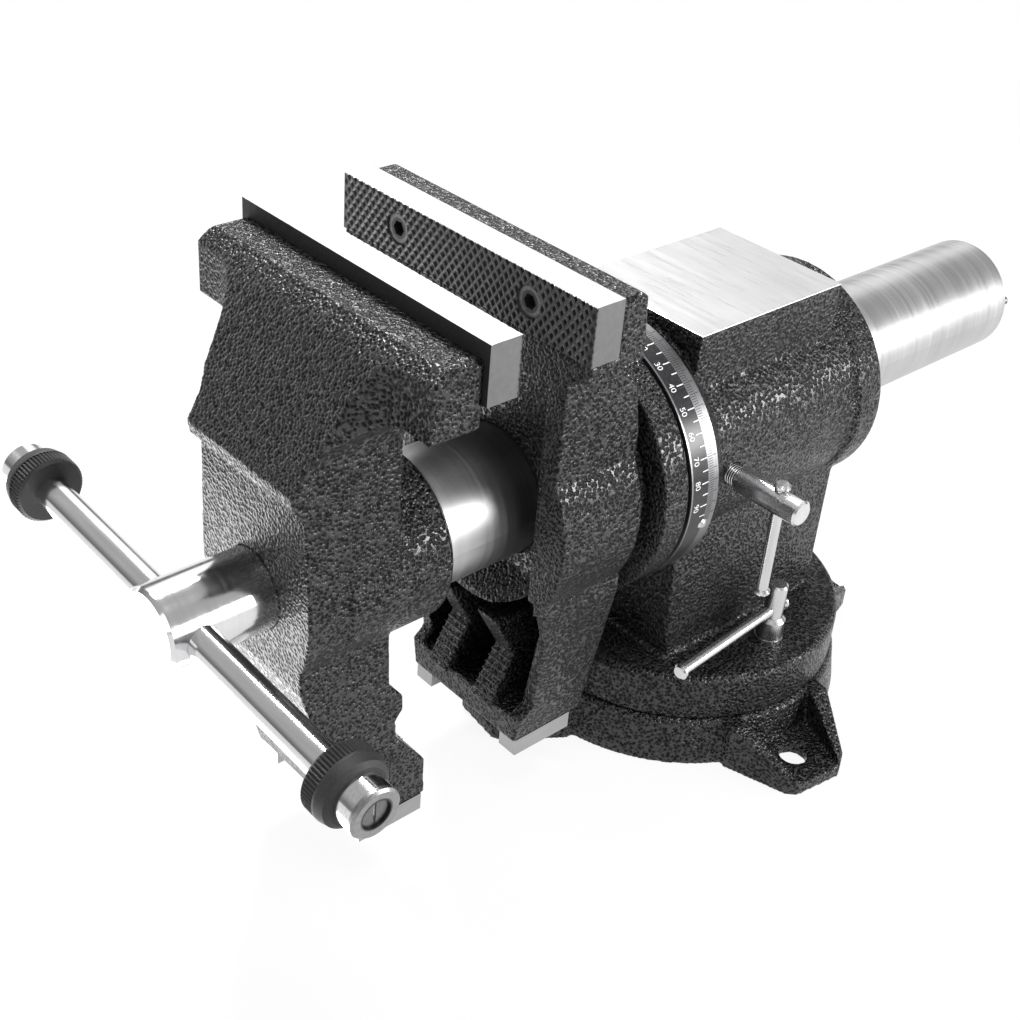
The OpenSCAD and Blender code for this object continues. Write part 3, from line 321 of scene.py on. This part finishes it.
def socketScrew(name):
    g = newGraph(name)
    at = g.place()
    x, y, z = at.parts()
    low, high = corners("fixed_plate_screws")
    across = abs(x) - socket["side"]
    rise = z - (low.z + high.z) / 2
    out = (across * across + rise * rise).root()
    fine = g.noise(at, socket["grain"])
    inner, outer = socket["rim"]
    rim = out.ramp(inner, inner + socket["fade"][0]) * out.ramp(outer, outer + socket["fade"][1], 1, 0)
    # the ring on the rim of the head is coloured lighter and partly metallic: a painted highlight, in blotches
    colour = g.blend(rim * fine.ramp(*socket["blotches"]), socket["black"], socket["lighter"])
    return g.finish(Base_Color=colour, Roughness=socket["rough"] + fine * socket["grainRough"],
                    Metallic=rim * socket["metal"], Normal=g.bump(fine, socket["relief"], socket["depth"]))


# Scale ring: a black band for the figures beside a bare turned band
scale = {"black": (0.01, 0.01, 0.011), "bare": (0.34, 0.34, 0.35), "share": 0.62, "lip": 0.9 * mm, "grain": 700,
         "edge": (0.4, 0.8), "lighter": 3, "spread": (30, 2600, 30), "dull": 0.7, "rough": 0.26, "bareRough": 0.06,
         "grainRough": 0.08, "grainRelief": 0.3, "relief": 0.2, "depth": 0.1 * mm}


def scaleBand(name):
    low, high = corners("scale_ring")
    split = low.y + (high.y - low.y) * scale["share"]
    g = newGraph(name)
    at = g.place()
    y = at.parts()[1]
    fine = g.noise(at, scale["grain"])
    streaks = g.noise(at.stretch(scale["spread"]), 1.0, 2)
    bare = (y > split).most(y < low.y + scale["lip"])
    dark = g.blend(fine.ramp(*scale["edge"]), scale["black"], shade(scale["black"], scale["lighter"]))
    bright = g.blend(streaks.ramp(*middle), shade(scale["bare"], scale["dull"]), scale["bare"])
    rough = bare * scale["bareRough"] + fine * scale["grainRough"] + scale["rough"]
    relief = streaks * bare + fine * scale["grainRelief"]
    return g.finish(Base_Color=g.blend(bare, dark, bright), Roughness=rough, Metallic=bare,
                    Normal=g.bump(relief, scale["relief"], scale["depth"]))


# Lock screw of the head: bright, with its thread showing beside the housing and painted shade in the thread's roots
thread = {"pitch": 1.2 * mm, "from": 50.5 * mm, "to": 59.3 * mm, "root": (-1, 0.4, 0.7, 0),
          "tone": (0.76, 0.76, 0.77), "dull": (0.45, 0.45, 0.46), "dark": (0.12, 0.12, 0.12), "dullShare": 0.35,
          "dullEdge": (0.45, 0.75), "grain": 320, "spread": (2200, 40, 40), "rough": (0.18, 0.3),
          "toothRelief": 2, "lineRelief": 0.1, "relief": 0.6, "depth": 0.2 * mm}


def threaded(name):
    g = newGraph(name)
    at = g.place()
    x = at.parts()[0]
    teeth = (x * (2 * math.pi / thread["pitch"])).wave()
    on = (x > thread["from"]) * (x < thread["to"])
    fine = g.noise(at, thread["grain"], 4, 0.7)
    streaks = g.noise(at.stretch(thread["spread"]), 1.0, 2)
    tone = g.blend(fine.ramp(*thread["dullEdge"]) * thread["dullShare"], thread["tone"], thread["dull"])
    # the thread's roots are coloured dark: painted shade in the grooves
    colour = g.blend(on * teeth.ramp(*thread["root"]), tone, thread["dark"])
    relief = teeth * on * thread["toothRelief"] + streaks * thread["lineRelief"]
    return g.finish(Base_Color=colour, Roughness=fine.ramp(*middle, *thread["rough"]), Metallic=1.0,
                    Normal=g.bump(relief, thread["relief"], thread["depth"]))


# End cap of the handle in front: bright sides, a dull end, and painted shade in its dish and in a dark ring round it
cap = {"dish": 5.6 * mm, "ring": 0.7 * mm, "endDepth": 2.4 * mm, "dishShare": 0.5, "grain": 700,
       "side": (0.74, 0.74, 0.745), "sideDull": 0.8, "sideEdge": (0.4, 0.8), "end": (0.36, 0.36, 0.365),
       "endDull": 0.75, "dark": (0.07, 0.07, 0.072), "rough": 0.12, "endRough": 0.2, "grainRough": 0.1,
       "relief": 0.1, "depth": 0.1 * mm}


def cappedEnd(name):
    g = newGraph(name)
    at = g.place()
    x, y, z = at.parts()
    low, high = corners("right_handle_cap")
    across = y - (low.y + high.y) / 2
    rise = z - (low.z + high.z) / 2
    out = (across * across + rise * rise).root()
    fine = g.noise(at, cap["grain"])
    isEnd = x > high.x - cap["endDepth"]
    dish, ring = cap["dish"], cap["ring"]
    # the dish is half darkened and the ring round it made dark: painted shade in the recess
    groove = out.ramp(dish - ring, dish) * out.ramp(dish + ring, dish + 2 * ring, 1, 0)
    endTone = g.blend(fine.ramp(*middle), shade(cap["end"], cap["endDull"]), cap["end"])
    endTone = g.blend(groove.most((out < dish) * cap["dishShare"]), endTone, cap["dark"])
    sideTone = g.blend(fine.ramp(*cap["sideEdge"]), cap["side"], shade(cap["side"], cap["sideDull"]))
    return g.finish(Base_Color=g.blend(isEnd, sideTone, endTone), Metallic=1.0,
                    Roughness=isEnd * cap["endRough"] + fine * cap["grainRough"] + cap["rough"],
                    Normal=g.bump(fine, cap["relief"], cap["depth"]))


# Enamel of the figures and ticks
enamel = {"grain": 1500, "dull": 0.8, "rough": 0.5, "relief": 0.1, "depth": 0.05 * mm,
          "tones": {"white": (0.8, 0.8, 0.8), "ink": (0.03, 0.03, 0.03)}}


def enamelMark(name, tone):
    g = newGraph(name)
    fine = g.noise(g.place(), enamel["grain"])
    colour = g.blend(fine.ramp(*middle), shade(tone, enamel["dull"]), tone)
    return g.finish(Base_Color=colour, Roughness=enamel["rough"],
                    Normal=g.bump(fine, enamel["relief"], enamel["depth"]))


made = {name: lined(name, **values) for name, values in metals.items()}
made.update({name: blackened(name, **values) for name, values in blacks.items()})
made.update({name: enamelMark(name, tone) for name, tone in enamel["tones"].items()})
made["hammered"] = hammered("hammered")
made["fixedPlateSteel"] = plateSteel("fixedPlateSteel", corners("fixed_plate")[0].y, -1)
made["movablePlateSteel"] = plateSteel("movablePlateSteel", corners("movable_plate")[1].y, 1)
made["socketScrew"] = socketScrew("socketScrew")
made["cappedEnd"] = cappedEnd("cappedEnd")
made["scaleBand"] = scaleBand("scaleBand")
made["lockThread"] = threaded("lockThread")

finishes = {
    "hammered": ["base", "swivel_body", "fixed_jaw", "movable_jaw"],
    "padFlat": ["fixed_lower_pads", "movable_lower_pads"],
    "turnedY": ["slide_tube", "tube_end_cap", "retaining_ring", "spindle_collar"],
    "polishedY": ["spindle"],
    "drawnX": ["handle_bar", "left_handle_cap"],
    "cappedEnd": ["right_handle_cap"],
    "plated": ["right_lock_nut", "left_lock_nut", "right_lock_bar", "left_lock_bar", "right_lock_washer",
               "left_lock_washer", "head_lock_bar", "scale_rivets", "right_t_bolt", "left_t_bolt",
               "pivot_bolt", "pivot_washer", "collar_pin", "fixed_pad_screws", "movable_pad_screws"],
    "fitting": ["grease_nipple"],
    "socketScrew": ["fixed_plate_screws", "movable_plate_screws"],
    "blackened": ["retaining_screws", "nut_bolt", "tube_pin"],
    "knurledBlack": ["right_knurled_ring", "left_knurled_ring"],
    "bronze": ["spindle_nut", "thrust_washer", "head_lock_shoe"],
    "fixedPlateSteel": ["fixed_plate"],
    "movablePlateSteel": ["movable_plate"],
    "scaleBand": ["scale_ring"],
    "lockThread": ["head_lock_screw"],
}
for finish, members in finishes.items():
    for name in members:
        data = nodes[name].data
        data.materials.clear()
        data.materials.append(made[finish])
print("finishes set on", sum(len(m) for m in finishes.values()), "nodes")


def newPiece(name, mesh, material, body, smooth=False):
    obj = bpy.data.objects.new(name, mesh)
    bpy.context.scene.collection.objects.link(obj)
    mesh.materials.clear()
    mesh.materials.append(made[material])
    for face in mesh.polygons:
        face.use_smooth = smooth
    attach(obj, body)
    return obj


def meshFrom(bm, name):
    mesh = bpy.data.meshes.new(name)
    bm.to_mesh(mesh)
    bm.free()
    return mesh


def mergedCopy(name, seam=0.001 * mm):
    bm = bmesh.new()
    bm.from_mesh(nodes[name].data)
    bmesh.ops.remove_doubles(bm, verts=bm.verts, dist=seam)
    return bm


def bevelledBox(low, high, edge):
    bm = bmesh.new()
    bmesh.ops.create_cube(bm, size=1)
    for vert in bm.verts:
        vert.co = Vector([low[i] + (vert.co[i] + 0.5) * (high[i] - low[i]) for i in range(3)])
    bmesh.ops.bevel(bm, geom=bm.edges[:], offset=edge, segments=2, profile=0.5, affect="EDGES", material=-1)
    return bm


# Knurl in the gripping faces: the plate's face is set back, and a relief of diamonds stands in the recess
def knurledPlate(node, screws, faceY, into):
    low, high = corners(node)
    bm = mergedCopy(node)
    for vert in bm.verts:
        if abs(vert.co.y - faceY) < knurl["flat"]:
            vert.co.y += into * knurl["deep"]
    columns = round((high.x - low.x) / knurl["step"])
    rows = round((high.z - low.z) / knurl["step"])
    relief = bmesh.ops.create_grid(bm, x_segments=columns, y_segments=rows, size=0.5)["verts"]
    screwZ = (corners(screws)[0].z + corners(screws)[1].z) / 2
    shallow, full = knurl["pit"]
    start = shallow * knurl["flank"]
    inBore = set()
    for vert in relief:
        x = low.x + (vert.co.x + 0.5) * (high.x - low.x)
        z = low.z + (vert.co.y + 0.5) * (high.z - low.z)
        one = abs(math.sin(math.pi * (x / knurl["wide"] + z / knurl["tall"])))
        two = abs(math.sin(math.pi * (x / knurl["wide"] - z / knurl["tall"])))
        sunk = min(1, max(0, (min(one, two) - start) / (full - start)))
        sunk *= min(1, max(0, high.x - abs(x) - knurl["step"]) / knurl["wide"])
        side = math.copysign(socket["side"], x)
        away = math.hypot(x - side, z - screwZ)
        if away < knurl["bore"] + knurl["step"] / 2:
            inBore.add(vert)
            share = knurl["bore"] / max(away, knurl["step"])
            x = side + (x - side) * share
            z = screwZ + (z - screwZ) * share
        vert.co = Vector((x, faceY + into * knurl["deep"] * sunk * knurl["cut"], z))
    gone = [face for face in bm.faces if all(vert in inBore for vert in face.verts)]
    bmesh.ops.delete(bm, geom=gone, context="FACES")
    kept = {vert for vert in relief if vert.is_valid}
    rim = [edge for edge in bm.edges if edge.is_boundary and edge.verts[0] in kept]
    for part in bmesh.ops.extrude_edge_only(bm, edges=rim)["geom"]:
        if isinstance(part, bmesh.types.BMVert):
            part.co.y = faceY + into * knurl["deep"]
    bmesh.ops.recalc_face_normals(bm, faces=bm.faces)
    name = "knurled_" + node
    obj = newPiece(name, meshFrom(bm, name), node.split("_")[0] + "PlateSteel", bodyOf[node])
    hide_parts(node)
    print("knurled", node, len(obj.data.polygons), "faces")


knurledPlate("fixed_plate", "fixed_plate_screws", corners("fixed_plate")[0].y, 1)
knurledPlate("movable_plate", "movable_plate_screws", corners("movable_plate")[1].y, -1)


# Scale markings: ticks every degree and five degrees, and a number every ten, wrapped on the ring.
# Reaches and gaps are shares of the ring's width, on either side of the line between its two bands
marks = {"span": 98, "lift": 0.02 * mm, "thick": 0.06 * mm,
         "fineW": 0.28 * mm, "fineGap": 0.02, "fine": 0.2, "fineFifth": 0.34,
         "tickW": 0.5 * mm, "tickGap": 0.01, "tick": 0.2, "tickTenth": 0.25, "number": 4.3 * mm, "numberAt": 0.21}


def onRing(angle, y, radius):
    return Vector((radius * math.sin(angle), y, axisZ + radius * math.cos(angle)))


def addTick(bm, angle, y0, y1, width, radius):
    for vert in bmesh.ops.create_cube(bm, size=1)["verts"]:
        vert.co = onRing(angle + vert.co.x * width / radius, y0 + (vert.co.y + 0.5) * (y1 - y0),
                         radius + (vert.co.z + 0.5) * marks["thick"])


def addNumber(bm, text, angle, y, radius):
    curve = bpy.data.curves.new("number", "FONT")
    curve.body = text
    curve.size = marks["number"]
    curve.align_x = "CENTER"
    curve.align_y = "CENTER"
    holder = bpy.data.objects.new("numberHolder", curve)
    bpy.context.scene.collection.objects.link(holder)
    mesh = bpy.data.meshes.new_from_object(holder)
    bpy.data.objects.remove(holder)
    for vert in mesh.vertices:
        vert.co = onRing(angle + vert.co.x / radius, y + vert.co.y, radius)
    bm.from_mesh(mesh)
    bpy.data.meshes.remove(mesh)


def makeScale():
    low, high = corners("scale_ring")
    radius = high.x + marks["lift"]
    width = high.y - low.y
    split = low.y + width * scale["share"]
    ticks, fineTicks, numbers = bmesh.new(), bmesh.new(), bmesh.new()
    for degree in range(-marks["span"], marks["span"] + 1):
        angle = math.radians(degree)
        reach = marks["fine"] if degree % 5 else marks["fineFifth"]
        addTick(fineTicks, angle, split + width * marks["fineGap"], split + width * reach, marks["fineW"], radius)
        if degree % 5 == 0:
            back = marks["tick"] if degree % 10 else marks["tickTenth"]
            addTick(ticks, angle, split - width * back, split - width * marks["tickGap"], marks["tickW"], radius)
        if degree % 10 == 0:
            numberY = low.y + width * marks["numberAt"]
            addNumber(numbers, str(abs(degree)), angle, numberY, radius + marks["thick"])
    for name, bm, material in (("scaleTicks", ticks, "white"), ("scaleFineTicks", fineTicks, "ink"),
                               ("scaleNumbers", numbers, "white")):
        bmesh.ops.recalc_face_normals(bm, faces=bm.faces)
        newPiece(name, meshFrom(bm, name), material, "swivel")
    print("scale markings made")


makeScale()


# Castings with softened edges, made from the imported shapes, and the anvil's ground face
castings = {
    "base": {"voxel": 0.8 * mm, "rounds": 3, "faces": 100000},
    "swivel_body": {"voxel": 1.0 * mm, "rounds": 7, "faces": 110000},
    "fixed_jaw": {"voxel": 0.8 * mm, "rounds": 4, "faces": 120000},
    "movable_jaw": {"voxel": 0.7 * mm, "rounds": 3, "faces": 120000},
}
anvil = {"half": 38 * mm, "front": -56 * mm, "rear": 40 * mm, "top": 223 * mm, "thick": 0.8 * mm,
         "edge": 0.3 * mm, "grow": 0.05 * mm}


def underAnvilFace(mesh):
    for vert in mesh.vertices:
        vert.co.z = min(vert.co.z, anvil["top"] - anvil["thick"] / 2)


def shapeNow(piece):
    return piece.evaluated_get(bpy.context.evaluated_depsgraph_get())


def softCasting(name, settings):
    piece = bpy.data.objects.new("soft_" + name, meshFrom(mergedCopy(name), "soft_" + name))
    bpy.context.scene.collection.objects.link(piece)
    remesh = piece.modifiers.new("voxels", "REMESH")
    remesh.mode = "VOXEL"
    remesh.voxel_size = settings["voxel"]
    soften = piece.modifiers.new("soften", "SMOOTH")
    soften.factor = 0.5
    soften.iterations = settings["rounds"]
    triangles = 2 * len(shapeNow(piece).data.polygons)  # the voxel mesh has four-sided faces
    thin = piece.modifiers.new("thin", "DECIMATE")
    thin.ratio = min(1, settings["faces"] / triangles)
    mesh = bpy.data.meshes.new_from_object(shapeNow(piece))
    bpy.data.objects.remove(piece)
    if name == "swivel_body":
        underAnvilFace(mesh)
    obj = newPiece("soft_" + name, mesh, "hammered", bodyOf[name], True)
    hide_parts(name)
    print("softened", name, len(mesh.polygons), "faces")


def makeAnvilFace():
    grow = anvil["grow"]
    low = (-anvil["half"] - grow, anvil["front"] - grow, anvil["top"] - anvil["thick"])
    high = (anvil["half"] + grow, anvil["rear"] + grow, anvil["top"] + grow)
    face = bevelledBox(low, high, anvil["edge"])
    newPiece("anvilFace", meshFrom(face, "anvilFace"), "groundFlat", "swivel")


for name, settings in castings.items():
    softCasting(name, settings)
makeAnvilFace()


# Crisp ridges on the gripping faces of the pipe jaws: start, end and outward direction in Y and Z, in millimetres
toothRows = {
    "fixed_jaw": {"from": (-136, 76), "to": (-149, 52), "out": (-0.88, 0.475), "spans": ((-21.8, -9.2), (9.2, 21.8))},
    "movable_jaw": {"from": (-213.5, 77), "to": (-198, 57), "out": (0.79, 0.61), "spans": ((-21.8, 21.8),)},
}
ridge = {"count": 8, "foot": 0.66, "crest": 0.1, "sunk": 0.8, "proud": 0.55}


def toothPiece(node, row):
    start, end, out = (Vector((0, *row[key])) for key in ("from", "to", "out"))
    step = (end - start) / ridge["count"]
    bm = bmesh.new()
    for index in range(1, ridge["count"]):
        for low, high in row["spans"]:
            for vert in bmesh.ops.create_cube(bm, size=1)["verts"]:
                top = vert.co.z > 0
                place = start + step * (index + vert.co.y * (ridge["crest"] if top else ridge["foot"]))
                place += out * (ridge["proud"] if top else -ridge["sunk"])
                place.x = low + (vert.co.x + 0.5) * (high - low)
                vert.co = place * mm
    bmesh.ops.recalc_face_normals(bm, faces=bm.faces)
    newPiece("teeth_" + node, meshFrom(bm, "teeth_" + node), "toothed", bodyOf[node])


for node, row in toothRows.items():
    toothPiece(node, row)
print("teeth made")


# Camera from the photograph's measured view; side, focal length and centre are in its pixels
camera = {"azimuth": 46.25, "elevation": 32.73, "roll": 4.67, "distance": 679.62 * mm, "focal": 1549.58,
          "centre": (499.34, 484.95), "target": (0, -132.7 * mm, 155.7 * mm), "side": 1020, "sensor": 36,
          "nearest": 0.05}


def makeCamera():
    az, el, roll = (math.radians(camera[k]) for k in ("azimuth", "elevation", "roll"))
    back = Vector((math.sin(az) * math.cos(el), -math.cos(az) * math.cos(el), math.sin(el)))
    right = Vector((math.cos(az), math.sin(az), 0))
    up = back.cross(right)
    turnedRight = right * math.cos(roll) + up * math.sin(roll)
    turnedUp = up * math.cos(roll) - right * math.sin(roll)
    data = bpy.data.cameras.new("camera")
    data.lens = camera["sensor"] * camera["focal"] / camera["side"]
    data.sensor_width = camera["sensor"]
    data.sensor_fit = "HORIZONTAL"
    data.shift_x = (camera["side"] / 2 - camera["centre"][0]) / camera["side"]
    data.shift_y = (camera["centre"][1] - camera["side"] / 2) / camera["side"]
    data.clip_start = camera["nearest"]
    obj = bpy.data.objects.new("camera", data)
    bpy.context.scene.collection.objects.link(obj)
    turn = Matrix((turnedRight, turnedUp, back)).transposed().to_4x4()
    obj.matrix_world = Matrix.Translation(Vector(camera["target"]) + back * camera["distance"]) @ turn
    bpy.context.scene.camera = obj


makeCamera()


# Studio: pale floor, soft lamps and a surround that is dim near the horizon and paler overhead
lamps = {
    "backPanel": {"place": (-0.98, 0.85, 1.0), "aim": (0, -0.05, 0.2), "size": (1.5, 0.9), "power": 4.1},
    "backSpot": {"place": (-0.66, 0.25, 1.15), "aim": (0, -0.23, 0.27), "size": (0.3, 0.3), "power": 20.0},
    "frontGlow": {"place": (-0.16, -0.35, 0.002), "aim": (-0.16, -0.349, 1), "size": (0.4, 0.22), "power": 1.1},
    "overhead": {"place": (0.35, -0.25, 1.35), "aim": (0.1, 0, 0.05), "size": (0.5, 0.5), "power": 7.0},
    "rightWall": {"place": (1.0, 0.65, 0.33), "aim": (0, 0.65, 0.2), "size": (1.2, 0.5), "power": 3.0},
    "rightCore": {"place": (0.93, 0.6, 0.42), "aim": (0, 0.4, 0.16), "size": (0.8, 0.34), "power": 13.0},
    "leftPanel": {"place": (-1.25, -0.45, 0.5), "aim": (0, -0.2, 0.18), "size": (0.5, 0.8), "power": 3.0},
    "frontFill": {"place": (0.45, -1.5, 0.55), "aim": (0, -0.2, 0.15), "size": (0.7, 0.7), "power": 3.0},
}
surround = {"seen": 1.0, "light": 0.8, "rise": (0.15, 0.5), "low": 0.2, "high": 0.5}
paper = {"tone": 0.94, "grain": 60, "fleck": 0.01, "shown": 0.9, "near": 0.4, "far": 1.0, "size": 8, "drop": 0.2 * mm}


def makeLamps():
    for name, lamp in lamps.items():
        data = bpy.data.lights.new(name, "AREA")
        data.shape = "RECTANGLE"
        data.size, data.size_y = lamp["size"]
        data.energy = lamp["power"]
        obj = bpy.data.objects.new(name, data)
        bpy.context.scene.collection.objects.link(obj)
        obj.location = lamp["place"]
        obj.visible_camera = False
        obj.rotation_euler = (Vector(lamp["aim"]) - Vector(lamp["place"])).to_track_quat("-Z", "Y").to_euler()


def makeSurround():
    world = bpy.data.worlds.new("surround")
    bpy.context.scene.world = world
    sky = Graph(world)
    grade = sky.place("Generated").parts()[2].ramp(*surround["rise"], surround["low"], surround["high"])
    strength = sky.backdropRays() * (surround["seen"] - surround["light"]) + surround["light"]
    sky.out(sky.node("ShaderNodeBackground", None, {"Color": (1, 1, 1), "Strength": strength * grade}),
            "ShaderNodeOutputWorld")


def makeFloor():
    bm = bmesh.new()
    bmesh.ops.create_grid(bm, x_segments=1, y_segments=1, size=paper["size"])
    floor = bpy.data.objects.new("floor", meshFrom(bm, "floor"))
    bpy.context.scene.collection.objects.link(floor)
    floor.location = (0, 0, -paper["drop"])
    g = newGraph("floorPaper")
    at = g.place()
    x, y, z = at.parts()
    away = (x * x + y * y).root()
    share = g.backdropRays() * away.ramp(paper["near"], paper["far"], paper["shown"], 1.0)
    tone = g.blend(g.noise(at, paper["grain"], 2, 0.5), (paper["tone"] - paper["fleck"],) * 3, (paper["tone"],) * 3)
    matte = g.node("ShaderNodeBsdfDiffuse", None, {"Color": tone})
    glow = g.node("ShaderNodeEmission", None, {"Color": (1, 1, 1), "Strength": 1.0})
    both = g.node("ShaderNodeMixShader", None, {0: share})
    g.tree.links.new(matte.outputs[0], both.inputs[1])
    g.tree.links.new(glow.outputs[0], both.inputs[2])
    g.out(both)
    floor.data.materials.append(g.owner)


makeLamps()
makeSurround()
makeFloor()
bpy.context.scene.view_settings.view_transform = "Standard"
print("studio made")
